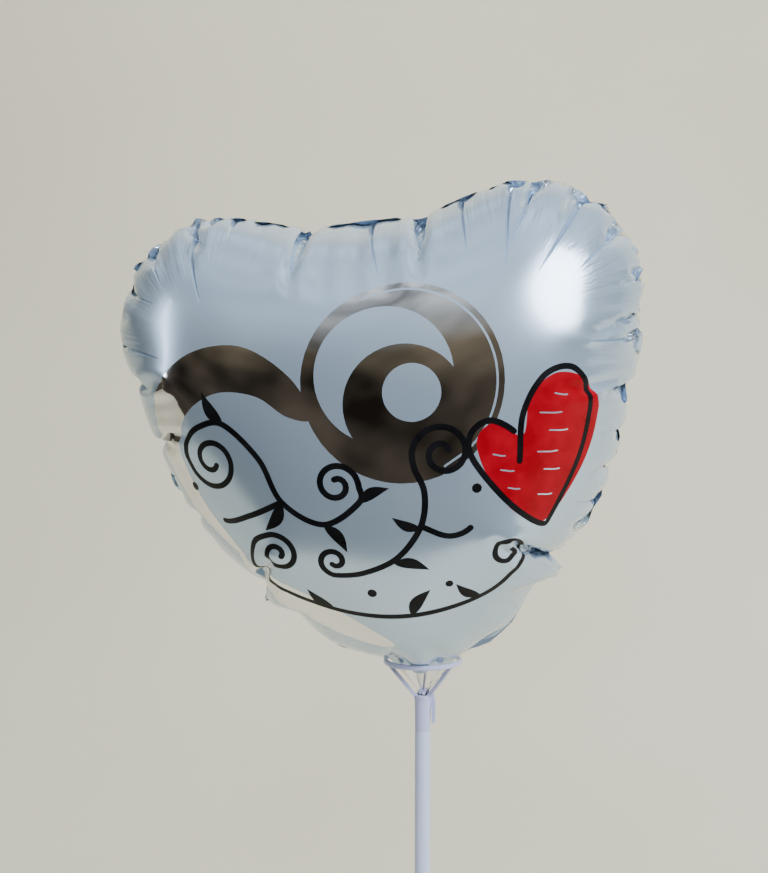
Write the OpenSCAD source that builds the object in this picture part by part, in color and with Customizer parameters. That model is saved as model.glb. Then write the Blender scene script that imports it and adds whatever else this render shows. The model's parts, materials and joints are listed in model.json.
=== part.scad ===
// Heart-shaped foil balloon on a hollow plastic stick, held by a ribbed plastic cup.
// The frame: origin at the centre of the stick's cut lower end, +Z up the stick, and the
// balloon's printed face looks along -Y. The balloon leans to -X on its flexible neck.

/* [Stick] */
// Outer diameter of the stick
stick_d = 6; // [6:0.1:6.4]
// Wall of the hollow stick
stick_wall = 0.8; // [0.7:0.1:0.9]
// Length of the stick
stick_len = 300; // [200:10:400]

/* [Cup] */
// Outer diameter of the cup's rim ring
ring_d = 30; // [29:0.5:32]
// Height of the rim ring
ring_h = 1.9; // [1.5:0.1:2.2]
// Radial thickness of the rim ring
ring_t = 1.4; // [1.2:0.1:1.5]
// Height of the open cone between the collar and the middle of the ring
cone_h = 13.2; // [12.5:0.1:14]
// Number of ribs between the ring and the collar
rib_count = 3; // [3:1:4]
// Width of a rib
rib_w = 1.2; // [1:0.1:1.4]
// Depth of a rib, square to its length
rib_depth = 1.4; // [1.2:0.1:1.5]
// Outer diameter of the collar where it meets the stick
collar_d = 5.9; // [5.6:0.1:5.9]
// Outer diameter of the collar's top, wider by its draft
collar_top_d = 6.4; // [6.2:0.1:6.6]
// Length of the collar
collar_len = 14.2; // [13:0.1:16]
// Length of the spigot that plugs into the stick
spigot_len = 12; // [8:1:20]
// Radial clearance of the spigot in the stick
spigot_gap = 0.05; // [0.02:0.01:0.09]
// Length of the clip that hangs beside the collar
clip_len = 10.8; // [9:0.1:12]

/* [Balloon] */
// Inflated width over the seams, without the flange
balloon_w = 197; // [190:1:200]
// Height of the lobes above the middle of the ring
balloon_h = 172; // [168:1:176]
// Thickness of the inflated balloon, front to back
balloon_t = 106; // [98:1:110]
// Distance of a lobe's top from the middle
lobe_x = 57; // [54:1:60]
// Depth of the notch below the lobes
notch_depth = 14; // [10:1:18]
// Heading where the lobe's arc meets the side's arc, clockwise from level
side_heading = 92; // [90:1:95]
// Width of the flat sealed flange outside the seam
seam_w = 4; // [3:0.5:4]
// Thickness that stands for the foil
foil_t = 0.15; // [0.1:0.05:0.3]
// Lean of the balloon to -X at rest
lean = 7.25; // [0:0.25:10]

/* [Tail and valve] */
// Length of the tail below the middle of the ring
tail_len = 25; // [22:0.5:26]
// Width of the valve films inside the balloon
film_w = 16; // [14:1:17]
// Height of the valve films above the middle of the ring
film_h = 50; // [40:1:60]
// Thickness that stands for one valve film
film_t = 0.25; // [0.2:0.05:0.3]

/* [Hidden] */
$fn = 64;

stick_r = stick_d / 2;
bore_r = stick_r - stick_wall;
spigot_r = bore_r - spigot_gap;
spigot_wall = 0.7;
spigot_hole_r = spigot_r - spigot_wall;
ring_r = ring_d / 2;
collar_top = stick_len + collar_len;
ring_z = collar_top + cone_h;
collar_r = collar_d / 2;
collar_top_r = collar_top_d / 2;
bead_r = collar_top_r + 0.3;
bead_h = 1.2;
cup_floor = 1.5;
rim_chamfer = 0.4;
clip_w = 2.2;
// Solids of the cup that join run this far into each other
lap = 0.4;

// The neck flexes inside a ball about the middle of the ring: the tail stays inside its
// radius and the panels stay outside it, so the two never meet as the balloon leans.
ball_r = 17;
ball_gap = 0.3;
neck_u = 3.7;
neck_in_r = sqrt(pow(ball_r + ball_gap, 2) - neck_u * neck_u) + 0.05;
neck_r = neck_in_r + foil_t;
neck_lip = 0.3;

// Outside of the gathered neck and tail, as [radius, height above the middle of the ring]
tail_wall = 0.4;
tail_profile = [[16.6, 3.3], [13.2, 1.5], [12.2, 0], [11, -1.6], [2, -11.5], [1.9, -tail_len]];

// Outline of the clip, as [distance from the axis, height below the collar's top]
clip_profile = [[2.6, 0], [4.4, 0], [5, -3], [4.8, -clip_len], [3.7, -clip_len], [3.6, -5.2], [2.6, -4.9]];

// Right half of a valve film, as [half width, height above the middle of the ring]
film_profile = [[1.3, -tail_len + 1], [1.4, -11], [film_w / 2, -3.2], [film_w / 2, film_h]];
film_gap = 0.1;

// Heart outline: a shallow shoulder arc from the notch, a lobe arc, then a side arc
shoulder_turn = 2 * atan(notch_depth / lobe_x);
shoulder_r = lobe_x / sin(shoulder_turn);
lobe_r = balloon_w / 2 - lobe_x;
lobe_end = [lobe_x + lobe_r * sin(side_heading), balloon_h - lobe_r * (1 - cos(side_heading))];
side_run = lobe_end - [neck_r, neck_u];
side_turn = 2 * (180 - atan(side_run[1] / side_run[0]) - side_heading);
side_r = norm(side_run) / (2 * sin(side_turn / 2));

// Counts of steps along each stretch of the panel's edge, and from its middle to its edge
shoulder_steps = 6;
lobe_steps = 10;
side_steps = 12;
neck_steps = 12;
dome_steps = 11;

// Dome profile of a panel: full and flat in the middle, square to the seam at the edge
dome_mid = 97;
dome_a = 2.3;
dome_b = 0.6;
neck_power = 8;

// A point on an arc that starts at p with heading h, after turning clockwise by t, with
// the heading there. Headings run clockwise from +X.
function arc_point(p, h, r, t) = [
  p[0] + r * (sin(h + t) - sin(h)),
  p[1] + r * (cos(h + t) - cos(h)),
  h + t
];

// Right half of the seam, from the notch to the neck
function right_seam() = concat(
  [for (i = [1 : shoulder_steps])
    arc_point([0, balloon_h - notch_depth], -shoulder_turn, shoulder_r, shoulder_turn * i / shoulder_steps)],
  [for (i = [1 : lobe_steps])
    arc_point([lobe_x, balloon_h], 0, lobe_r, side_heading * i / lobe_steps)],
  [for (i = [1 : side_steps])
    arc_point(lobe_end, side_heading, side_r, side_turn * i / side_steps)]
);

// One entry of the panel's edge: the seam point, the same point on the foil's inside, and
// the outer edge of the flange. Every place is [x, depth from the seam plane, height].
function seam_entry(p, side) =
  let (n = [sin(p[2]), cos(p[2])])
  [
    [side * p[0], foil_t / 2, p[1]],
    [side * (p[0] - n[0] * foil_t), 0, p[1] - n[1] * foil_t],
    [side * (p[0] + n[0] * seam_w), foil_t / 2, p[1] + n[1] * seam_w],
    [side * (p[0] + n[0] * seam_w), 0, p[1] + n[1] * seam_w]
  ];

function notch_entry() =
  let (u = balloon_h - notch_depth)
  [
    [0, foil_t / 2, u],
    [0, 0, u - foil_t],
    [0, foil_t / 2, u + seam_w],
    [0, 0, u + seam_w]
  ];

function neck_entry(a) = [
  [neck_r * cos(a), neck_r * sin(a), neck_u],
  [neck_in_r * cos(a), neck_in_r * sin(a), neck_u],
  [neck_r * cos(a), neck_r * sin(a), neck_u - neck_lip],
  [(neck_in_r + 0.1) * cos(a), (neck_in_r + 0.1) * sin(a), neck_u - neck_lip]
];

// The whole edge, clockwise from the notch as the front is seen
function panel_edge() =
  let (r = right_seam(), n = len(r))
  concat(
    [notch_entry()],
    [for (p = r) seam_entry(p, 1)],
    [for (i = [1 : neck_steps - 1]) neck_entry(180 * i / neck_steps)],
    [for (i = [n - 1 : -1 : 0]) seam_entry(r[i], -1)]
  );

// A place on the dome: k runs from 0 in the middle to 1 at the edge place e
function dome_point(e, k, t) = [
  e[0] * k,
  t * pow(1 - pow(k, dome_a), dome_b) + e[1] * pow(k, neck_power),
  dome_mid + (e[2] - dome_mid) * k
];

// Steps get finer towards the edge, where the dome is steep
function dome_step(j) = 1 - pow(1 - j / dome_steps, 1.7);

// One ply of foil: outside face, flange and inside face as rings of points, front ply at -Y
module foil_panel() {
  edge = panel_edge();
  n = len(edge);
  outside = [for (j = [1 : dome_steps])
    [for (e = edge) dome_point(e[0], dome_step(j), balloon_t / 2)]];
  inside = [for (j = [dome_steps : -1 : 1])
    [for (e = edge) dome_point(e[1], dome_step(j), balloon_t / 2 - foil_t)]];
  rings = concat(outside, [[for (e = edge) e[2]], [for (e = edge) e[3]]], inside);
  m = len(rings);
  ends = [[0, balloon_t / 2, dome_mid], [0, balloon_t / 2 - foil_t, dome_mid]];
  points = concat(
    [for (ring = rings) for (p = ring) [p[0], -p[1], p[2]]],
    [for (p = ends) [p[0], -p[1], p[2]]]
  );
  faces = concat(
    [for (i = [0 : n - 1]) [m * n, i, (i + 1) % n]],
    [for (j = [0 : m - 2]) for (i = [0 : n - 1])
      [j * n + i, (j + 1) * n + i, (j + 1) * n + (i + 1) % n]],
    [for (j = [0 : m - 2]) for (i = [0 : n - 1])
      [j * n + i, (j + 1) * n + (i + 1) % n, j * n + (i + 1) % n]],
    [for (i = [0 : n - 1]) [m * n + 1, (m - 1) * n + (i + 1) % n, (m - 1) * n + i]]
  );
  polyhedron(points, [for (f = faces) [f[0], f[2], f[1]]]);
}

module leaned() {
  translate([0, 0, ring_z]) rotate([0, -lean, 0]) children();
}

// Half of the gathered neck and tail: a funnel through the ring, then a thin tail
module half_tail() {
  last = len(tail_profile) - 1;
  inner = [for (i = [last : -1 : 0]) tail_profile[i] - [tail_wall, 0]];
  translate([0, 0, ring_z]) rotate_extrude(angle = 180) polygon(concat(tail_profile, inner));
}

// One film of the self-sealing valve, narrow in the tail and wide inside the balloon
module valve_film() {
  last = len(film_profile) - 1;
  left = [for (i = [last : -1 : 0]) [-film_profile[i][0], film_profile[i][1]]];
  translate([0, -film_gap, ring_z]) rotate([90, 0, 0]) linear_extrude(film_t)
    polygon(concat(film_profile, left));
}

module stick() {
  color("white") difference() {
    cylinder(h = stick_len, r = stick_r);
    translate([0, 0, -1]) cylinder(h = stick_len + 2, r = bore_r);
  }
}

module rim_ring() {
  r = ring_r;
  s = ring_r - ring_t;
  h = ring_h / 2;
  c = rim_chamfer;
  section = [
    [s, c - h], [s + c, -h], [r - c, -h], [r, c - h],
    [r, h - c], [r - c, h], [s + c, h], [s, h - c]
  ];
  translate([0, 0, ring_z]) rotate_extrude() polygon(section);
}

module rib() {
  top = [ring_r - ring_t / 2, lap / 2];
  foot = [collar_r, -cone_h - lap];
  along = (foot - top) / norm(foot - top);
  side = [-along[1], along[0]] * rib_depth / 2;
  translate([0, 0, ring_z]) rotate([90, 0, 0]) linear_extrude(rib_w, center = true)
    polygon([top + side, top - side, foot - side, foot + side]);
}

module clip() {
  translate([0, 0, collar_top]) rotate([90, 0, 0]) linear_extrude(clip_w, center = true)
    polygon(clip_profile);
}

module cup() {
  color("lavender") {
    rim_ring();
    difference() {
      union() {
        for (i = [0 : rib_count - 1]) rotate([0, 0, 90 + 360 * i / rib_count]) rib();
        translate([0, 0, stick_len]) cylinder(h = collar_len, r1 = collar_r, r2 = collar_top_r);
        translate([0, 0, collar_top - bead_h]) cylinder(h = bead_h, r = bead_r);
        translate([0, 0, stick_len - spigot_len]) cylinder(h = spigot_len + 1, r = spigot_r);
        clip();
      }
      translate([0, 0, stick_len + cup_floor]) cylinder(h = collar_len + 2, r = bore_r);
      translate([0, 0, stick_len - spigot_len - 1]) cylinder(h = spigot_len + 3, r = spigot_hole_r);
    }
  }
}

module front_panel() {
  color("lightsteelblue") leaned() foil_panel();
}

module back_panel() {
  color("silver") leaned() rotate([0, 0, 180]) foil_panel();
}

module front_tail() {
  color("silver") rotate([0, 0, 180]) half_tail();
}

module back_tail() {
  color("silver") half_tail();
}

module valve_front_film() {
  color("whitesmoke") valve_film();
}

module valve_back_film() {
  color("whitesmoke") rotate([0, 0, 180]) valve_film();
}

stick();
cup();
front_panel();
back_panel();
front_tail();
back_tail();
valve_front_film();
valve_back_film();
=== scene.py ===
"""Heart-shaped foil balloon on a stick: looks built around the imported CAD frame.

The foil is two flat plies welded along one heart-shaped seam. A pressure cloth simulation inflates
them from their flat pattern, and the printed face is a finer mesh laid over the simulated surface,
split along the edges of the print. Pattern sizes are in millimetres, Blender objects in metres.
"""

import json
import math

import bpy
import numpy as np
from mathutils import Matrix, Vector, geometry
from mathutils.bvhtree import BVHTree
from mathutils.kdtree import KDTree


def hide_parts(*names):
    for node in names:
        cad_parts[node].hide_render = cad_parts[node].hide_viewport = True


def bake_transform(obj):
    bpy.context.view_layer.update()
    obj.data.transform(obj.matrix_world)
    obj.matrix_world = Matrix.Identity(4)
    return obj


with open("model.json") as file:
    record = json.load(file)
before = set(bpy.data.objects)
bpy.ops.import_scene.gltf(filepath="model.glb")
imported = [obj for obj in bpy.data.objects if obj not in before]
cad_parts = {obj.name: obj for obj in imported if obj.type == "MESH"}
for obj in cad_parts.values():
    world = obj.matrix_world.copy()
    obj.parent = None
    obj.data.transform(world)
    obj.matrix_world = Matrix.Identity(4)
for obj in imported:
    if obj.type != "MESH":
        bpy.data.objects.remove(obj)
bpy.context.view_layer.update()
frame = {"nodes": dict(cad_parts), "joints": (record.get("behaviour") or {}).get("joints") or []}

MM = 0.001

# ---------------------------------------------------------------- sizes
SEAM_W = 238.0          # flat width over the seam
SHOULDER_R = 2000.0     # nearly straight top between the lobes
SHOULDER_STEPS = 12
LOBE_X = 52.0           # a lobe's top, from the middle
LOBE_TURN = 92.0        # turn of the lobe's arc, degrees
LOBE_STEPS = 40
SIDE_END = 157.0        # heading of the seam where it meets the neck, clockwise from level
SIDE_STEPS = 40
NECK_HALF = 11.0        # half width of the flat neck
FLANGE = 4.0            # flat welded rim outside the seam
FLANGE_ROWS = 3         # rows of faces across it
RING_HALF = 48.0        # half width of the pattern where it passes the cup's ring
LEAN = math.radians(7.25)   # of the balloon at rest, as in the CAD
PLY_GAP = 0.06          # half the gap that keeps the two plies' flanges apart
RING_IN, RING_OUT = 12.6, 16.0  # radii between which the foil rests on the cup's ring
RING_TOP = 1.5          # least height of the foil there, over the middle of the ring
RING_NUDGE = 4.0        # outside the ring, foil this far below that height is lifted by a mm

# the simulation
SIM_GRID = 3.0          # mesh size of the simulation
SIM_FRAMES = 25
SIM_SCALE = 10 * MM     # the cloth is simulated at ten times its size
PRESSURE = 150
SEED = 1                # of the small unevenness that starts the wrinkles
JITTER = 0.02           # size of that unevenness
START_BULGE = 0.02      # slope of the plies near the seam before they are inflated
START_REACH = 30.0      # how far in from the seam they slope
PUCKER_PITCH = 22.0     # spacing of the puckers along the seam
PUCKER_DEPTH = 1.5      # how deep the puckers are drawn in before the foil is inflated
PUCKER_REACH = 12.0     # how far in from the seam they fade
TAIL_FOLDS = 9          # folds round the gathered tail
FOLD_IN = 0.22          # how far the folds go in, as a share of the funnel's radius
GATHER_UP = 14.0        # height over the ring where the gathering ends
HELD_UP = 0.3           # the foil is held up to this height over the ring

# the shown foil
FINE_GRID = 2.0         # mesh size of the shown foil
CURVED = 0.7            # share of curvature put back between the simulated points
LEAN_FROM, LEAN_OVER = -1.0, 10.0   # where the foil starts to lean, and how much higher it leans fully
CREASE_LOOK = 7.0       # puckers are looked for this far in from the seam
CREASE_SPAN = 5         # each place is compared with this many seam points on either side
FAINT, FULL = 0.05, 1.2     # pucker depths that give no crease, and a crease of full strength
CREASE_GAP = 9.0        # least distance between two creases along the seam
CREASE_LEN = (20.0, 44.0)   # of the weakest and the strongest crease
CREASE_DEPTH = (1.3, 2.8)   # likewise
CREASE_LEN_VARY = (0.8, 1.15)
CREASE_BEND = 0.12      # most that a crease's inner end is off its line, as a share of its length
CREASE_W = 1.5          # half width of a crease at the seam
CREASE_TAPER = 0.6      # power by which a crease narrows along its length
CREASE_FADE = 0.8       # power by which it gets shallower
CREASE_UP = 12.0        # no creases lower than this over the ring
# Spots on the flat pattern, just outside the seam, where the foil always has a crease of full strength
FOLD_SPOTS = [(-80, 250), (-28, 260), (1, 260), (20, 260), (42, 260), (68, 260), (105, 230)]
FOLD_SPOTS += [(-130, 180), (135, 150)]
SHARP = 32.0            # folds sharper than this many degrees show as sharp lines
CRIMP_DEPTH = 42.0      # how far in from the seam the foil is finely crimped
CRIMP_FADE = 1.3        # power by which the crimps fade on that way
CRIMP_MIDDLE = 8.0      # they also fade this close to the balloon's middle line
CRIMP_UP = (5.0, 20.0)  # heights over the ring where they start, and where they are full

JOINTS = {j["name"]: j for j in frame["joints"]}
PIVOT = Vector(JOINTS["balloon_lean"]["pos_m"])

# Funnel of gathered foil from the ring down, as in the CAD tail: (radius, height over the ring)
FUNNEL = [(12.0, 0.0), (10.9, -1.6), (2.0, -11.6), (1.8, -25.0)]
FUNNEL_STEPS = np.linalg.norm(np.diff(np.array(FUNNEL), axis=0), axis=1)
FUNNEL_LEN = float(FUNNEL_STEPS.sum())


# ---------------------------------------------------------------- flat pattern
def arc(start, heading, radius, turn, steps):
    """Points along an arc that turns clockwise. Headings run clockwise from +X, in degrees."""
    out = []
    for i in range(1, steps + 1):
        h0, h1 = math.radians(heading), math.radians(heading + turn * i / steps)
        x = start[0] + radius * (math.sin(h1) - math.sin(h0))
        y = start[1] + radius * (math.cos(h1) - math.cos(h0))
        out.append((x, y))
    return out


def right_outline():
    """Right half of the seam from the notch to the end of the tail, with the tail's end at height 0."""
    shoulder = math.degrees(math.asin(LOBE_X / SHOULDER_R))
    pts = [(0.0, 0.0)] + arc((0, 0), -shoulder, SHOULDER_R, shoulder, SHOULDER_STEPS)
    pts += arc(pts[-1], 0, SEAM_W / 2 - LOBE_X, LOBE_TURN, LOBE_STEPS)
    run = math.sin(math.radians(LOBE_TURN)) - math.sin(math.radians(SIDE_END))
    side_r = (pts[-1][0] - NECK_HALF) / run
    side = arc(pts[-1], LOBE_TURN, side_r, SIDE_END - LOBE_TURN, SIDE_STEPS)
    ring_y = np.interp(-RING_HALF, [-x for x, _ in side], [y for _, y in side])
    pts += side + [(NECK_HALF, ring_y - FUNNEL_LEN)]
    return np.array([(x, y - pts[-1][1]) for x, y in pts])


def resample(points, step):
    """Points at even gaps of about step along an open line."""
    gaps = np.linalg.norm(np.diff(points, axis=0), axis=1)
    along = np.concatenate([[0], np.cumsum(gaps)])
    count = max(2, round(along[-1] / step))
    at = np.linspace(0, along[-1], count + 1)
    return np.column_stack([np.interp(at, along, points[:, 0]), np.interp(at, along, points[:, 1])])


def seam_loop(step):
    """The closed seam, clockwise from the notch, with the tail's open end as its last straight run."""
    right = resample(right_outline(), step)
    left = right[::-1] * (-1, 1)
    end = resample(np.array([right[-1], left[0]]), step)[1:-1]
    return np.vstack([right, end, left[:-1]])


def inside(loop, pts):
    """Which points a closed loop winds round, by counting signed crossings to their right."""
    turns = np.zeros(len(pts), int)
    for a, b in zip(loop, np.roll(loop, -1, 0)):
        if a[1] == b[1]:
            continue
        crosses = (a[1] > pts[:, 1]) != (b[1] > pts[:, 1])
        crosses &= pts[:, 0] < (b[0] - a[0]) * (pts[:, 1] - a[1]) / (b[1] - a[1]) + a[0]
        turns += crosses * (1 if b[1] > a[1] else -1)
    return turns != 0


def edge_distance(loop, pts):
    """Distance of each point from a closed loop."""
    best = np.full(len(pts), 1e9)
    for a, b in zip(loop, np.roll(loop, -1, 0)):
        ab = b - a
        t = np.clip(((pts - a) @ ab) / (ab @ ab), 0, 1)
        best = np.minimum(best, np.linalg.norm(pts - a - t[:, None] * ab, axis=1))
    return best


def hex_points(loop, step):
    """A grid of even triangles' points inside a loop, clear of its edge."""
    low, high = loop.min(0), loop.max(0)
    rows = []
    for j, y in enumerate(np.arange(low[1], high[1], step * math.sqrt(3) / 2)):
        count = math.ceil(high[0] / step) + 1
        xs = np.arange(-count, count + 1) * step + (step / 2 if j % 2 else 0)
        rows.append(np.column_stack([xs, np.full(len(xs), y)]))
    pts = np.vstack(rows)
    pts = pts[inside(loop, pts)]
    return pts[edge_distance(loop, pts) > 0.55 * step]


def triangulate(loop, pts, loops=(), lines=()):
    """Constrained triangles of the area in loop, through pts and along closed loops and open lines.

    All faces are counter-clockwise as x runs right and height runs up. Returns the points, the faces and
    the index of each of the loop's points.
    """
    n = len(loop)
    verts = [Vector(p) for p in np.vstack([loop, pts])]
    edges = [(i, (i + 1) % n) for i in range(n)]
    for line in loops:
        base = len(verts)
        verts += [Vector(p) for p in line]
        edges += [(base + i, base + (i + 1) % len(line)) for i in range(len(line))]
    for line in lines:
        base = len(verts)
        verts += [Vector(p) for p in line]
        edges += [(base + i, base + i + 1) for i in range(len(line) - 1)]
    out = geometry.delaunay_2d_cdt(verts, edges, [list(range(n))], 1, 1e-5)
    co = np.array([tuple(v) for v in out[0]])
    where = {}
    for k, sources in enumerate(out[3]):
        for s in sources:
            if s < n:
                where[s] = k
    tris = np.array([tuple(f) for f in out[2]])
    a, b, c = co[tris[:, 0]], co[tris[:, 1]], co[tris[:, 2]]
    area = (b[:, 0] - a[:, 0]) * (c[:, 1] - a[:, 1]) - (b[:, 1] - a[:, 1]) * (c[:, 0] - a[:, 0])
    tris[area < 0] = tris[area < 0][:, ::-1]
    return co, tris[np.abs(area) > 1e-9], np.array([where[i] for i in range(n)])


# ---------------------------------------------------------------- inflation
OUTLINE = right_outline()
RING_V = FUNNEL_LEN


def half_width(v):
    """Half width of the flat pattern at height v, on the side and the neck."""
    side = OUTLINE[-(SIDE_STEPS + 2):][::-1]
    return np.interp(v, side[:, 1], side[:, 0])


def gathered(flat, sign):
    """Places of the tail's flat points once it is gathered into the funnel. sign is -1 for the front ply."""
    along = np.concatenate([[0], np.cumsum(FUNNEL_STEPS)])
    s = np.clip(RING_V - flat[:, 1], 0, FUNNEL_LEN)
    r = np.interp(s, along, [p[0] for p in FUNNEL])
    u = np.interp(s, along, [p[1] for p in FUNNEL])
    hw = half_width(flat[:, 1])
    a = np.clip(math.pi / 2 * (1 - flat[:, 0] / hw), -0.05, math.pi + 0.05)
    slack = np.clip(hw * 2 / (math.pi * r) - 1, 0, 1)
    r = r * (1 - FOLD_IN * slack * (0.5 - 0.5 * np.cos(a * TAIL_FOLDS + sign)))
    return np.column_stack([r * np.cos(a), sign * r * np.sin(a), u])


def seam_normals(loop):
    """Outward directions along the seam."""
    tangent = np.roll(loop, -1, 0) - np.roll(loop, 1, 0)
    normal = np.column_stack([-tangent[:, 1], tangent[:, 0]])
    return normal / np.linalg.norm(normal, axis=1)[:, None]


def along_seam(loop):
    """Distance along the closed seam of each of its points, and its whole length at the end."""
    gaps = np.linalg.norm(np.roll(loop, -1, 0) - loop, axis=1)
    return np.concatenate([[0], np.cumsum(gaps)])


def point_tree(pts):
    tree = KDTree(len(pts))
    for i, p in enumerate(pts):
        tree.insert((p[0], p[1], 0), i)
    tree.balance()
    return tree


def start_depths(loop, flat):
    """How far each flat point is bulged out, and moved by the puckers, before the foil is inflated."""
    depth = edge_distance(loop, flat)
    along = along_seam(loop)
    waves = 2 * math.pi * round(along[-1] / PUCKER_PITCH) / along[-1]
    tree = point_tree(loop)
    place = np.array([along[tree.find((p[0], p[1], 0))[1]] for p in flat])
    bulge = START_BULGE * np.minimum(depth, START_REACH)
    return bulge, -PUCKER_DEPTH * np.exp(-depth / PUCKER_REACH) * np.cos(waves * place)


def gather_tail(rest, front, weld):
    """Gathers the tail in the funnel, and eases the foil above it out to flat.

    front tells which points are on the front ply, and weld which ones are on the seam or the flange.
    Returns the points' places and which of them are held.
    """
    flat = rest[:, [0, 2]] + (0, RING_V)
    v = flat[:, 1] - RING_V
    lifted = np.zeros_like(rest)
    lifted[front] = gathered(flat[front], -1.0)
    lifted[~front] = gathered(flat[~front], 1.0)
    lifted[weld, 1] = 0
    lifted[:, 2] += np.maximum(v, 0)
    ring_half = half_width(np.full(1, RING_V))[0]
    spread = np.where(v > 0, half_width(flat[:, 1]) / ring_half, 1.0)
    lifted[:, :2] *= spread[:, None]
    ease = np.clip(1 - v / GATHER_UP, 0, 1)
    ease = ease * ease * (3 - 2 * ease)
    return rest * (1 - ease[:, None]) + lifted * ease[:, None], v <= HELD_UP


def run_cloth(start, rest, faces, held, pressed):
    """Inflates a mesh from its start places, with its edges as long as in rest. Returns the new places."""
    mesh = bpy.data.meshes.new("inflating")
    mesh.from_pydata([tuple(p) for p in start * SIM_SCALE], [], [tuple(int(i) for i in f) for f in faces])
    ob = bpy.data.objects.new("inflating", mesh)
    bpy.context.scene.collection.objects.link(ob)
    ob.shape_key_add(name="Basis")
    key = ob.shape_key_add(name="flat")
    key.data.foreach_set("co", (rest * SIM_SCALE).ravel())
    for name, points in (("press", range(pressed)), ("held", np.nonzero(held)[0])):
        ob.vertex_groups.new(name=name).add([int(i) for i in points], 1.0, "REPLACE")

    cloth = ob.modifiers.new("Cloth", "CLOTH")
    st = cloth.settings
    st.quality = 8
    st.mass = 0.05
    st.air_damping = 1.0
    st.tension_stiffness = st.compression_stiffness = st.shear_stiffness = 80
    st.tension_damping = st.compression_damping = st.shear_damping = 5
    st.bending_model = "ANGULAR"
    st.bending_stiffness = 0.005
    st.bending_damping = 0.5
    st.use_pressure = True
    st.uniform_pressure_force = PRESSURE
    st.vertex_group_pressure = "press"
    st.vertex_group_mass = "held"
    st.pin_stiffness = 1.0
    st.rest_shape_key = key
    st.effector_weights.gravity = 0
    cloth.collision_settings.use_collision = False
    cloth.collision_settings.use_self_collision = False
    scene = bpy.context.scene
    for f in range(1, SIM_FRAMES + 1):
        scene.frame_set(f)
    done = ob.evaluated_get(bpy.context.evaluated_depsgraph_get())
    out = np.zeros(len(done.data.vertices) * 3)
    done.data.vertices.foreach_get("co", out)
    scene.frame_set(1)
    bpy.data.objects.remove(ob)
    return out.reshape(-1, 3) / SIM_SCALE


def inflate():
    """Welds two flat plies along the seam and inflates them.

    Returns one ply's flat points and triangles, the seam, its points' indices in the ply, and the places
    of the front ply, the back ply and the flange's rim.
    """
    loop = seam_loop(SIM_GRID)
    flat, tris, on_seam = triangulate(loop, hex_points(loop, SIM_GRID))
    n, count = len(loop), len(flat)
    seam = np.zeros(count, bool)
    seam[on_seam] = True
    back = np.arange(count)
    back[~seam] = count + np.arange((~seam).sum())
    total = count + int((~seam).sum())

    bulge, pucker = start_depths(loop, flat)
    rest = np.zeros((total, 3))
    rest[:count] = np.column_stack([flat[:, 0], -bulge + pucker, flat[:, 1] - RING_V])
    rest[back[~seam]] = np.column_stack([flat[:, 0], bulge + pucker, flat[:, 1] - RING_V])[~seam]
    rest[:, 1] += np.random.default_rng(SEED).normal(0, JITTER, total)
    rim = loop + seam_normals(loop) * FLANGE
    rest = np.vstack([rest, np.column_stack([rim[:, 0], np.zeros(n), rim[:, 1] - RING_V])])

    faces = [tuple(t) for t in tris] + [tuple(back[t][::-1]) for t in tris]
    faces += [(on_seam[i], total + i, total + (i + 1) % n, on_seam[(i + 1) % n]) for i in range(n)]
    front = np.arange(len(rest)) < count
    weld = np.concatenate([seam, np.zeros(total - count, bool), np.ones(n, bool)])
    start, held = gather_tail(rest, front, weld)
    out = run_cloth(start, rest, faces, held, total)
    return {
        "flat": flat, "tris": tris, "loop": loop, "on_seam": on_seam,
        "front": out[:count], "back": out[back], "rim": out[total:],
    }


# ---------------------------------------------------------------- shown foil
def vertex_normals(co, tris):
    cross = np.cross(co[tris[:, 1]] - co[tris[:, 0]], co[tris[:, 2]] - co[tris[:, 0]])
    out = np.zeros_like(co)
    for k in range(3):
        np.add.at(out, tris[:, k], cross)
    return out / np.maximum(np.linalg.norm(out, axis=1), 1e-12)[:, None]


def lay(sim, ply, flat):
    """Places and normals of flat points on one inflated ply, curved between the simulated points."""
    base, tris, co = sim["flat"], sim["tris"], sim[ply]
    normals = vertex_normals(co, tris)
    tree = BVHTree.FromPolygons([(p[0], p[1], 0) for p in base], [tuple(int(i) for i in t) for t in tris])
    hit = np.array([tree.find_nearest(Vector((p[0], p[1], 0)))[2] for p in flat])
    t = tris[hit]
    a, b, c = base[t[:, 0]], base[t[:, 1]], base[t[:, 2]]
    area = (b[:, 0] - a[:, 0]) * (c[:, 1] - a[:, 1]) - (c[:, 0] - a[:, 0]) * (b[:, 1] - a[:, 1])
    wb = ((flat[:, 0] - a[:, 0]) * (c[:, 1] - a[:, 1]) - (c[:, 0] - a[:, 0]) * (flat[:, 1] - a[:, 1])) / area
    wc = ((b[:, 0] - a[:, 0]) * (flat[:, 1] - a[:, 1]) - (flat[:, 0] - a[:, 0]) * (b[:, 1] - a[:, 1])) / area
    w = np.clip(np.column_stack([1 - wb - wc, wb, wc]), 0, 1)
    w /= w.sum(1)[:, None]
    flat_place = np.einsum("nk,nkd->nd", w, co[t])
    normal = np.einsum("nk,nkd->nd", w, normals[t])
    normal /= np.linalg.norm(normal, axis=1)[:, None]
    curved = np.zeros_like(flat_place)
    for k in range(3):
        off = ((flat_place - co[t[:, k]]) * normals[t[:, k]]).sum(1)
        curved += w[:, k:k + 1] * (flat_place - off[:, None] * normals[t[:, k]])
    return flat_place * (1 - CURVED) + curved * CURVED, normal


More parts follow.
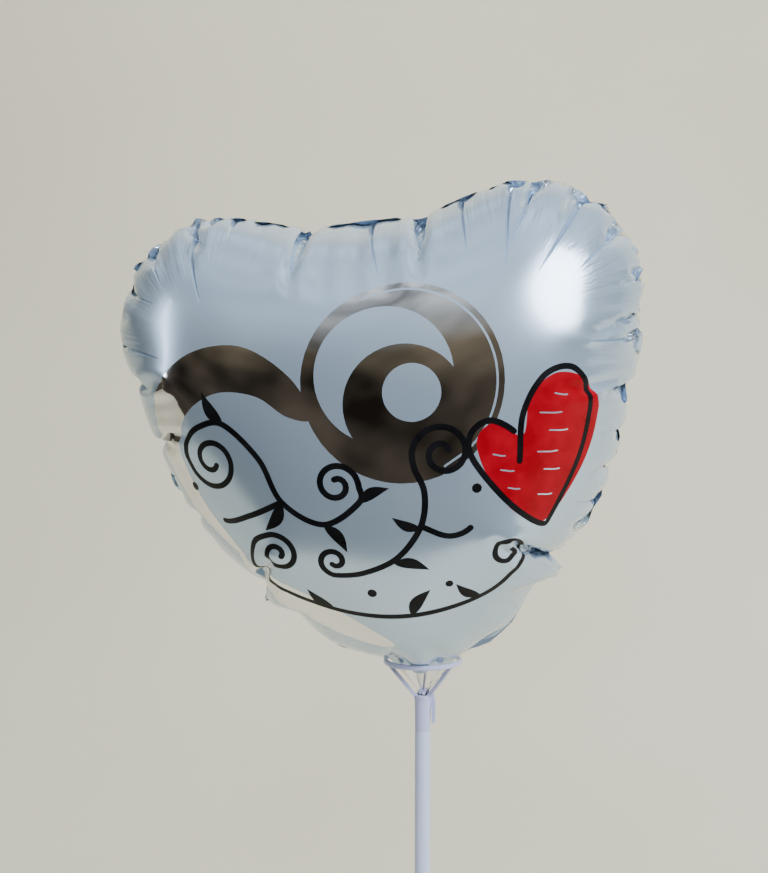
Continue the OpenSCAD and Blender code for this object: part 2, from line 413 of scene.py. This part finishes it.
def spline(points, per):
    """A closed curve through points, with per steps between neighbours."""
    p0, p1, p2, p3 = np.roll(points, 1, 0), points, np.roll(points, -1, 0), np.roll(points, -2, 0)
    out = []
    for k in range(per):
        t = k / per
        out.append(0.5 * (2 * p1 + (p2 - p0) * t + (2 * p0 - 5 * p1 + 4 * p2 - p3) * t ** 2
                          + (3 * p1 - p0 - 3 * p2 + p3) * t ** 3))
    return np.stack(out, 1).reshape(-1, points.shape[1])


def find_creases(sim, ply):
    """A crease on the flat pattern for each simulated pucker: (start, way in, length, depth, bend)."""
    loop = sim["loop"]
    inward = -seam_normals(loop)
    place, _ = lay(sim, ply, loop + inward * CREASE_LOOK)
    bulge = np.abs(place[:, 1])
    around = [np.roll(bulge, k) for k in range(-CREASE_SPAN, CREASE_SPAN + 1)]
    low = np.mean(around, 0) - bulge
    for spot in FOLD_SPOTS:
        low[np.argmin(np.linalg.norm(loop - spot, axis=1))] = np.inf
    apart = int(CREASE_GAP / SIM_GRID)
    rng = np.random.default_rng(SEED)
    out = []
    for i in range(len(loop)):
        near = [low[(i + k) % len(loop)] for k in range(-apart, apart + 1)]
        if low[i] < FAINT or low[i] < max(near) or loop[i][1] < RING_V + CREASE_UP:
            continue
        strong = min(1.0, low[i] / FULL)
        length = np.interp(strong, [0, 1], CREASE_LEN) * rng.uniform(*CREASE_LEN_VARY)
        depth = np.interp(strong, [0, 1], CREASE_DEPTH)
        out.append((loop[i] + inward[i], inward[i], length, depth, rng.uniform(-CREASE_BEND, CREASE_BEND)))
    return out


def crease_path(crease):
    """Points along a crease's middle, from the seam in."""
    start, way, length, _, bend = crease
    t = np.linspace(0, 1, max(4, round(length / 2)))[:, None]
    side = np.array([-way[1], way[0]])
    return start + way * length * t + side * length * bend * t * t


def crease_lens(crease):
    """The creased strip's outline, wide at the seam and pointed inside."""
    path = crease_path(crease)
    along = np.gradient(path, axis=0)
    along /= np.linalg.norm(along, axis=1)[:, None]
    half = CREASE_W * np.linspace(1, 0, len(path))[:, None] ** CREASE_TAPER
    side = np.column_stack([-along[:, 1], along[:, 0]]) * half
    return np.vstack([path + side, (path - side)[-2::-1]])


def fold_in(co, normal, flat, creases):
    """Draws the foil in along each crease, sharp in its middle."""
    for crease in creases:
        path, length, depth = crease_path(crease), crease[2], crease[3]
        near = np.nonzero(np.linalg.norm(flat - path[0], axis=1) < length * 1.1)[0]
        best, at = np.full(len(near), 1e9), np.zeros(len(near))
        for k in range(len(path) - 1):
            ab = path[k + 1] - path[k]
            t = np.clip(((flat[near] - path[k]) @ ab) / (ab @ ab), 0, 1)
            d = np.linalg.norm(flat[near] - path[k] - t[:, None] * ab, axis=1)
            at = np.where(d < best, (k + t) / (len(path) - 1), at)
            best = np.minimum(best, d)
        half = CREASE_W * np.maximum(1 - at, 0.02) ** CREASE_TAPER
        drop = depth * (1 - at) ** CREASE_FADE * np.clip(1 - best / half, 0, 1)
        co[near] -= normal[near] * drop[:, None]
    return co


def clear_ring(co):
    """Keeps the foil clear of the cup's ring, which the balloon's lower end rests on."""
    r = np.linalg.norm(co[:, :2], axis=1)
    low = (r > RING_IN) & (r < RING_OUT)
    co[low, 2] = np.maximum(co[low, 2], RING_TOP)
    under = (r >= RING_OUT) & (co[:, 2] < RING_TOP)
    push = np.clip((RING_TOP - co[:, 2]) / RING_NUDGE, 0, 1)
    co[under, 2] += push[under]
    return co


def to_world(co):
    """Places in mm from the upright balloon's pivot to metres in the CAD frame, leaning from the ring up."""
    t = np.clip((co[:, 2] - LEAN_FROM) / LEAN_OVER, 0, 1)
    a = -LEAN * t * t * (3 - 2 * t)
    x = co[:, 0] * np.cos(a) + co[:, 2] * np.sin(a)
    z = co[:, 2] * np.cos(a) - co[:, 0] * np.sin(a)
    return np.column_stack([x, co[:, 1], z]) * MM + np.array(PIVOT)


def flange_points(seam, rim, sign):
    """Rows of points from the seam out to the rim, kept a hair apart from the other ply's."""
    rows = []
    for k in range(1, FLANGE_ROWS + 1):
        row = seam + (rim - seam) * (k / FLANGE_ROWS)
        row[:, 1] += sign * PLY_GAP
        rows.append(row)
    return rows


def flange_faces(on_loop, count):
    """Quads between the rows of the flange, whose points follow the ply's own count points."""
    n = len(on_loop)
    rows = [[int(i) for i in on_loop]]
    rows += [list(range(count + k * n, count + (k + 1) * n)) for k in range(FLANGE_ROWS)]
    faces = []
    for inner, outer in zip(rows, rows[1:]):
        for i in range(n):
            j = (i + 1) % n
            faces.append((inner[i], outer[i], outer[j], inner[j]))
    return faces


def foil_piece(name, sim, ply, edges, classify, slots):
    """One ply with its flange. classify gives each triangle's material index from its flat middle."""
    per = 2
    sign = -1 if ply == "front" else 1
    loop = spline(sim["loop"], per)
    creases = find_creases(sim, ply)
    middles = [crease_path(c) for c in creases]
    edges = edges + [crease_lens(c) for c in creases]
    grid = thin_out(hex_points(loop, FINE_GRID), edges + middles)
    flat, tris, on_loop = triangulate(loop, grid, edges, middles)
    co, normal = lay(sim, ply, flat)
    co = fold_in(co, -sign * normal, flat, creases)
    co[on_loop] = spline(sim["front"][sim["on_seam"]], per)
    flange = flange_points(co[on_loop], spline(sim["rim"], per), sign)
    co = clear_ring(np.vstack([co] + flange))
    faces = [tuple(int(i) for i in t) for t in tris] + flange_faces(on_loop, len(flat))
    kinds = np.zeros(len(faces), dtype=np.int32)
    kinds[:len(tris)] = classify(flat[tris].mean(1))
    if ply == "back":
        faces = [f[::-1] for f in faces]
    mesh = bpy.data.meshes.new(name)
    mesh.from_pydata([tuple(p) for p in to_world(co)], [], faces)
    for m in slots:
        mesh.materials.append(m)
    mesh.polygons.foreach_set("material_index", kinds)
    mesh.polygons.foreach_set("use_smooth", np.ones(len(faces), bool))
    crimp_map(mesh, sim["loop"], flat, FLANGE_ROWS * len(on_loop))
    mesh.update()
    mesh.set_sharp_from_angle(angle=math.radians(SHARP))
    ob = bpy.data.objects.new(name, mesh)
    bpy.context.scene.collection.objects.link(ob)
    return ob


def crimp_map(mesh, loop, flat, on_flange):
    """Stores where each point lies along the seam, how far in, and how much the foil is crimped there."""
    start = along_seam(loop)
    total, best, at = start[-1], np.full(len(flat), 1e9), np.zeros(len(flat))
    for i, (a, b) in enumerate(zip(loop, np.roll(loop, -1, 0))):
        t = np.clip(((flat - a) @ (b - a)) / ((b - a) @ (b - a)), 0, 1)
        d = np.linalg.norm(flat - a - t[:, None] * (b - a), axis=1)
        at = np.where(d < best, start[i] + t * (start[i + 1] - start[i]), at)
        best = np.minimum(best, d)
    at = (at + total / 2) % total
    fade = np.clip(1 - best / CRIMP_DEPTH, 0, 1) ** CRIMP_FADE
    fade *= np.clip(np.abs(flat[:, 0]) / CRIMP_MIDDLE, 0, 1)
    high = np.clip((flat[:, 1] - RING_V - CRIMP_UP[0]) / (CRIMP_UP[1] - CRIMP_UP[0]), 0, 1)
    place = np.zeros((len(flat) + on_flange, 3))
    place[:len(flat)] = np.column_stack([at, best, np.zeros(len(flat))])
    amount = np.concatenate([fade * high, np.zeros(on_flange)])
    mesh.attributes.new("seam_place", "FLOAT_VECTOR", "POINT").data.foreach_set("vector", place.ravel())
    mesh.attributes.new("crimp", "FLOAT", "POINT").data.foreach_set("value", amount)


def thin_out(pts, lines):
    """Drops grid points that lie close to a print edge or a crease, so no sliver triangles form there."""
    if not len(lines):
        return pts
    tree = point_tree(np.vstack(lines))
    far = [tree.find((p[0], p[1], 0))[2] > 0.4 * FINE_GRID for p in pts]
    return pts[np.array(far)]


# ---------------------------------------------------------------- print
# Places on the flat pattern: x from the middle, height from the tail's end
STROKE_W = 2.2           # brush width of the black scrollwork
LINE_W = 0.8             # fine lines
PRINT_STEP = 1.2         # spacing of the points along a print edge


def resample_closed(loop):
    return resample(np.vstack([loop, loop[:1]]), PRINT_STEP)[:-1]


def curve(points, closed=False):
    """A smooth line through a few points, with points PRINT_STEP apart."""
    per = 12
    pts = np.array(points, float)
    if closed:
        return resample_closed(spline(pts, per))
    ends = np.vstack([2 * pts[0] - pts[1], pts, 2 * pts[-1] - pts[-2]])
    return resample(spline(ends, per)[per:1 - 3 * per], PRINT_STEP)


def disc(x, y, r):
    """Outline of a round shape."""
    a = np.linspace(0, 2 * math.pi, 49)[:-1]
    return resample_closed(np.column_stack([x + r * np.cos(a), y + r * np.sin(a)]))


def volute(x, y, radius, start, turns):
    """Points of a spiral that winds in to (x, y) from start degrees. Negative turns run clockwise."""
    t = np.linspace(0, 1, 5 + int(8 * abs(turns)))
    a = math.radians(start) + 2 * math.pi * turns * t
    r = radius * (1 - 0.8 * t)
    return [(x + r1 * math.cos(a1), y + r1 * math.sin(a1)) for r1, a1 in zip(r, a)]


def stroke(points, width=STROKE_W):
    """Outline of a brush stroke with round ends along a smooth line."""
    path = curve(points)
    along = np.gradient(path, axis=0)
    along /= np.linalg.norm(along, axis=1)[:, None]
    side = np.column_stack([-along[:, 1], along[:, 0]]) * width / 2
    cap = np.radians([30, 60, 90, 120, 150])[:, None]
    last = path[-1] + side[-1] * np.cos(cap) + along[-1] * width / 2 * np.sin(cap)
    first = path[0] - side[0] * np.cos(cap) - along[0] * width / 2 * np.sin(cap)
    return np.vstack([path + side, last, (path - side)[::-1], first])


def leaf(x, y, heading, length):
    """A pointed leaf that grows from (x, y)."""
    a = math.radians(heading)
    t = np.linspace(0, 1, 9)[:, None]
    ahead, left = np.array([math.cos(a), math.sin(a)]), np.array([-math.sin(a), math.cos(a)])
    belly = 0.17 * length * np.sin(math.pi * t ** 0.8)
    bend = 0.10 * length * np.sin(math.pi * t)
    line = np.array([x, y]) + ahead * length * t + left * bend
    return np.vstack([line + left * belly, (line - left * belly)[-2:0:-1]])


# Bare foil windows: a crescent over the left lobe, an off-centre ring on the right one, and a leaf
CRESCENT = curve([(-18, 141), (-25, 156), (-43, 168), (-66, 166), (-84, 151), (-88, 129), (-80, 107),
                  (-58, 87), (-70, 109), (-75, 128), (-69, 144), (-54, 152), (-38, 150), (-27, 142)],
                 closed=True)
LEAF_WINDOW = curve([(-62, 89), (-45, 80), (-24, 66), (-5, 47), (-23, 49), (-42, 58), (-55, 72)],
                    closed=True)
RING_X, RING_Y, RING_LINE_R = 14, 150, 32.5
RING_WINDOW = disc(RING_X, RING_Y, 35)
RING_HOLE = disc(8, 153, 24)
EYE_WINDOW = disc(14, 142, 21)
EYE_HOLE = disc(17, 146, 10)
RING_TURN = np.radians(range(-70, 131, 20))
RING_LINE = stroke([(RING_X + RING_LINE_R * math.cos(a), RING_Y + RING_LINE_R * math.sin(a))
                    for a in RING_TURN], LINE_W)

# Black scrollwork: volutes joined by long curves, with leaves and dots along them
SCROLLS = [
    stroke(volute(-60, 128, 13, 100, 1.6)[::-1] + [(-52, 141), (-40, 128), (-34, 112), (-20, 103), (-6, 110)]
           + volute(-13, 117, 8, -10, 1.4)),
    stroke(volute(-40, 92, 8, 110, -1.4)[::-1]
           + [(-50, 96), (-53, 86), (-45, 76), (-24, 66), (4, 62), (30, 64), (43, 71)]
           + volute(43, 82, 8, -40, 1.3)),
    stroke(volute(25, 124, 11, 200, -1.5)[::-1] + [(17, 111), (14, 99), (4, 88), (-9, 83)]
           + volute(-19, 88.5, 6, -90, -1.2)),
    stroke([(-34, 112), (-48, 107), (-62, 104), (-72, 111)]),
    stroke([(14, 99), (23, 94), (31, 96), (35, 104)]),
]
LEAVES = [leaf(-52, 141, 120, 14), leaf(-34, 112, -130, 14), leaf(-20, 103, -60, 13), leaf(-24, 66, 130, 13),
          leaf(4, 62, 50, 14), leaf(30, 64, 130, 12), leaf(2, 86, -20, 13), leaf(14, 98, 150, 11),
          leaf(-6, 110, 20, 12)]
DOTS = [disc(-73, 117, 1.8), disc(35, 110, 1.8), disc(-8, 74, 1.8), disc(20, 74, 1.5)]

# Loose red heart with a black outline that misses it a little, and scratches left open in the red
HEART = curve([(53, 126), (57, 139), (67, 146), (79, 142), (84, 129), (77, 110), (60, 92), (47, 99),
               (39, 114), (37, 127), (44, 132)], closed=True)
HEART_LINE = stroke([(51, 117), (54, 134), (63, 146), (74, 147), (80, 136), (76, 116), (63, 94), (58, 91),
                     (46, 102), (35, 120), (35, 129), (42, 133), (50, 128), (54, 120)])
SCRATCH_W = 0.5
SCRATCH_SPOTS = [(60, 133, 16), (63, 126, 14), (58, 119, 15), (60, 112, 12), (42, 121, 8), (44, 115, 9),
                 (46, 108, 8), (57, 103, 11), (66, 139, 9)]     # left end and length
SCRATCHES = [stroke([(x, y), (x + length / 2, y - 1.2), (x + length, y + 0.4)], SCRATCH_W)
             for x, y, length in SCRATCH_SPOTS]

PRINT_EDGES = [CRESCENT, LEAF_WINDOW, RING_WINDOW, RING_HOLE, EYE_WINDOW, EYE_HOLE, RING_LINE]
PRINT_EDGES += [HEART, HEART_LINE] + SCRATCHES + SCROLLS + LEAVES + DOTS
IN_PEARL, IN_FOIL, IN_BLACK, IN_RED = range(4)


def front_print(pts):
    """Which ink each flat point carries. The tail, below the ring, is bare foil."""
    bare = inside(CRESCENT, pts) | inside(LEAF_WINDOW, pts)
    bare |= inside(RING_WINDOW, pts) & ~inside(RING_HOLE, pts)
    bare |= inside(EYE_WINDOW, pts)
    bare &= ~(inside(EYE_HOLE, pts) | inside(RING_LINE, pts))
    bare |= pts[:, 1] < RING_V - 1
    kinds = np.where(bare, IN_FOIL, IN_PEARL)
    scratched = np.zeros(len(pts), bool)
    for line in SCRATCHES:
        scratched |= inside(line, pts)
    kinds[inside(HEART, pts) & ~scratched] = IN_RED
    for shape in [HEART_LINE] + SCROLLS + LEAVES + DOTS:
        kinds[inside(shape, pts)] = IN_BLACK
    return kinds


def no_print(pts):
    """The back ply has a single material."""
    return np.zeros(len(pts), int)


# ---------------------------------------------------------------- materials
class Shader:
    """A node tree with one closing shader node, and short calls for the nodes that feed it."""

    def __init__(self, owner, closing):
        owner.use_nodes = True
        self.owner = owner
        self.tree = owner.node_tree
        self.out = self.tree.nodes[closing]

    def node(self, kind, **inputs):
        made = self.tree.nodes.new("ShaderNode" + kind)
        for key, value in inputs.items():
            socket = made.inputs[key.replace("_", " ")]
            if isinstance(value, bpy.types.NodeSocket):
                self.tree.links.new(value, socket)
            else:
                socket.default_value = value
        return made

    def noise(self, vector, scale, detail=3.0):
        return self.node("TexNoise", Vector=vector, Scale=scale, Detail=detail).outputs["Fac"]

    def place(self):
        """The object's own coordinates, in metres."""
        return self.node("TexCoord").outputs["Object"]

    def ramp(self, fac, stops):
        made = self.node("ValToRGB", Fac=fac)
        ends = made.color_ramp.elements
        for k, (at, color) in enumerate(stops):
            stop = ends[k] if k < 2 else ends.new(at)
            stop.position = at
            stop.color = (*color, 1)
        return made.outputs["Color"]

    def span(self, value, low, high, start=0.3, end=0.7):
        made = self.node("MapRange", Value=value, To_Min=low, To_Max=high, From_Min=start, From_Max=end)
        return made.outputs["Result"]

    def math(self, operation, a, b):
        made = self.tree.nodes.new("ShaderNodeMath")
        made.operation = operation
        for socket, value in zip(made.inputs, (a, b)):
            if isinstance(value, bpy.types.NodeSocket):
                self.tree.links.new(value, socket)
            else:
                socket.default_value = value
        return made.outputs["Value"]

    def feed(self, socket, value):
        self.tree.links.new(value, self.out.inputs[socket])

    def bump(self, height, distance, strength=1.0):
        made = self.node("Bump", Height=height, Distance=distance, Strength=strength)
        self.feed("Normal", made.outputs["Normal"])


def principled(name, metallic=0.0, coat=0.0):
    sh = Shader(bpy.data.materials.new(name), "Principled BSDF")
    sh.out.inputs["Metallic"].default_value = metallic
    sh.out.inputs["Coat Weight"].default_value = coat
    sh.out.inputs["Coat Roughness"].default_value = 0.06
    return sh


def foil_height(sh):
    """Fine crimps square to the seam, which fade out towards the middle, over a faint unevenness."""
    place = sh.tree.nodes.new("ShaderNodeAttribute")
    place.attribute_name = "seam_place"
    amount = sh.tree.nodes.new("ShaderNodeAttribute")
    amount.attribute_name = "crimp"
    stretched = sh.node("Mapping", Vector=place.outputs["Vector"], Scale=(0.42, 0.022, 1)).outputs["Vector"]
    crimps = sh.math("MULTIPLY", sh.noise(stretched, 1.0, 2.0), amount.outputs["Fac"])
    return sh.math("ADD", crimps, sh.math("MULTIPLY", sh.noise(sh.place(), 35, 2.0), 0.10))


def pearl():
    """Pale blue translucent ink over the metal film."""
    sh = principled("pearl_ink", metallic=0.55, coat=0.5)
    patches = sh.noise(sh.place(), 14, 3)
    sh.feed("Base Color", sh.ramp(patches, [(0.3, (0.44, 0.57, 0.74)), (0.7, (0.49, 0.62, 0.78))]))
    sh.feed("Roughness", sh.span(patches, 0.19, 0.25))
    sh.bump(foil_height(sh), 0.0011)
    return sh.owner


def bare_foil():
    sh = principled("bare_foil", metallic=1.0)
    patches = sh.noise(sh.place(), 20, 3)
    sh.feed("Base Color", sh.ramp(patches, [(0.3, (0.80, 0.79, 0.77)), (0.7, (0.86, 0.85, 0.83))]))
    sh.feed("Roughness", sh.span(patches, 0.04, 0.09))
    sh.bump(foil_height(sh), 0.0008)
    return sh.owner


def ink(name, dark, light, roughness):
    """Opaque ink with little gloss."""
    sh = principled(name)
    sh.out.inputs["Specular IOR Level"].default_value = 0.12
    patches = sh.noise(sh.place(), 120, 3)
    sh.feed("Base Color", sh.ramp(patches, [(0.35, dark), (0.65, light)]))
    sh.feed("Roughness", sh.span(patches, roughness * 0.85, roughness * 1.15))
    sh.bump(foil_height(sh), 0.0008)
    return sh.owner


def plastic(name, dark, light, roughness):
    """Extruded or moulded polypropylene: faint flow marks and a slight see-through glow."""
    sh = principled(name)
    sh.out.inputs["Subsurface Weight"].default_value = 0.15
    sh.out.inputs["Subsurface Scale"].default_value = 0.002
    drawn = sh.node("Mapping", Vector=sh.place(), Scale=(1, 1, 0.06)).outputs["Vector"]
    streaks = sh.noise(drawn, 420, 4)
    sh.feed("Base Color", sh.ramp(streaks, [(0.3, dark), (0.7, light)]))
    sh.feed("Roughness", sh.span(streaks, roughness * 0.8, roughness * 1.2))
    sh.bump(streaks, 0.0001, 0.5)
    return sh.owner


PEARL = pearl()
MIRROR = bare_foil()
BLACK = ink("black_ink", (0.004, 0.004, 0.005), (0.008, 0.008, 0.010), 0.32)
RED = ink("red_ink", (0.28, 0.0, 0.007), (0.37, 0.001, 0.012), 0.34)
STICK = plastic("stick_plastic", (0.58, 0.66, 0.93), (0.66, 0.73, 0.98), 0.32)
CUP = plastic("cup_plastic", (0.50, 0.54, 0.82), (0.58, 0.61, 0.90), 0.22)
FILM = plastic("valve_film", (0.74, 0.75, 0.77), (0.82, 0.83, 0.85), 0.2)


sim = inflate()
front = foil_piece("front_foil", sim, "front", PRINT_EDGES, front_print, [PEARL, MIRROR, BLACK, RED])
back = foil_piece("back_foil", sim, "back", [], no_print, [MIRROR])
for piece, ply in ((front, "front"), (back, "back")):
    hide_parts(f"{ply}_panel", f"{ply}_tail")
    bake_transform(piece)

for node, mat in (("stick", STICK), ("cup", CUP), ("valve_front_film", FILM), ("valve_back_film", FILM)):
    ob = frame["nodes"][node]
    ob.data.materials.clear()
    ob.data.materials.append(mat)


# ---------------------------------------------------------------- stage
def paper():
    sh = principled("sweep_paper")
    soft = sh.noise(sh.place(), 1.6, 3)
    sh.feed("Base Color", sh.ramp(soft, [(0.3, (0.68, 0.65, 0.50)), (0.7, (0.78, 0.75, 0.62))]))
    sh.feed("Roughness", sh.span(soft, 0.85, 0.95))
    return sh.owner


def sweep():
    """Pale floor that curves up into a pale backdrop."""
    half, front_y, back_y, radius, top = 3.0, -0.3, 1.0, 0.6, 2.5
    profile = [(front_y, 0.0), (back_y - radius, 0.0)]
    for i in range(1, 13):
        a = math.pi / 2 * i / 12
        profile.append((back_y - radius + radius * math.sin(a), radius - radius * math.cos(a)))
    profile.append((back_y, top))
    verts = [(x, y, z) for x in (-half, half) for y, z in profile]
    n = len(profile)
    mesh = bpy.data.meshes.new("sweep")
    mesh.from_pydata(verts, [], [(i, i + n, i + n + 1, i + 1) for i in range(n - 1)])
    mesh.polygons.foreach_set("use_smooth", np.ones(n - 1, bool))
    mesh.materials.append(paper())
    ob = bpy.data.objects.new("sweep", mesh)
    bpy.context.scene.collection.objects.link(ob)


def area_light(name, place, target, size, energy, color, mirrored=True):
    """A softbox. One that isn't mirrored lights the scene but doesn't show in glossy surfaces."""
    light = bpy.data.lights.new(name, "AREA")
    light.shape = "ELLIPSE"
    light.size, light.size_y = size
    light.energy = energy
    light.color = color
    ob = bpy.data.objects.new(name, light)
    ob.location = place
    ob.rotation_euler = (Vector(target) - Vector(place)).to_track_quat("-Z", "Y").to_euler()
    ob.visible_glossy = mirrored
    bpy.context.scene.collection.objects.link(ob)


def room():
    """A dim warm room for the foil to mirror: brown walls with soft patches, and a pale ceiling."""
    sh = Shader(bpy.data.worlds.new("room"), "Background")
    bpy.context.scene.world = sh.owner
    around = sh.node("TexCoord").outputs["Generated"]
    height = sh.node("SeparateXYZ", Vector=around).outputs["Z"]
    stops = [(0.0, (0.06, 0.05, 0.04)), (0.3, (0.13, 0.11, 0.08)), (0.6, (0.42, 0.46, 0.50)),
             (0.9, (0.75, 0.83, 0.95))]
    sh.feed("Color", sh.ramp(height, stops))
    sh.feed("Strength", sh.span(sh.noise(around, 2.6, 2.0), 0.18, 1.5, 0.36, 0.66))


MIDDLE = PIVOT + Vector((0, 0, 0.09))
sweep()
room()
area_light("key", MIDDLE + Vector((0.95, -0.8, 0.75)), MIDDLE, (0.7, 0.9), 27, (0.95, 0.98, 1.0))
area_light("side", MIDDLE + Vector((-1.2, -0.35, 0.25)), MIDDLE, (0.10, 0.7), 2, (0.85, 0.92, 1.0))
area_light("soft", MIDDLE + Vector((0.8, -1.4, 0.55)), MIDDLE, (1.0, 0.8), 12, (0.88, 0.95, 1.0),
           mirrored=False)
area_light("wall", Vector((0, -0.1, 1.7)), Vector((0, 1.0, 0.6)), (2.0, 0.4), 17, (1.0, 0.97, 0.88),
           mirrored=False)


# ---------------------------------------------------------------- camera
CAM_AZ, CAM_EL, CAM_DIST = math.radians(10), math.radians(6), 0.75
VIEW_H = 0.3295          # height of the picture at the balloon
SENSOR_H = 24
AIM = PIVOT + Vector((-0.0150, 0, 0.0853))
camera = bpy.data.objects.new("camera", bpy.data.cameras.new("camera"))
bpy.context.scene.collection.objects.link(camera)
bpy.context.scene.camera = camera
back_dir = Vector((math.sin(CAM_AZ) * math.cos(CAM_EL), -math.cos(CAM_AZ) * math.cos(CAM_EL),
                   math.sin(CAM_EL)))
camera.location = AIM + back_dir * CAM_DIST
camera.rotation_euler = (-back_dir).to_track_quat("-Z", "Y").to_euler()
camera.data.sensor_fit = "VERTICAL"
camera.data.sensor_height = SENSOR_H
camera.data.lens = SENSOR_H * CAM_DIST / VIEW_H
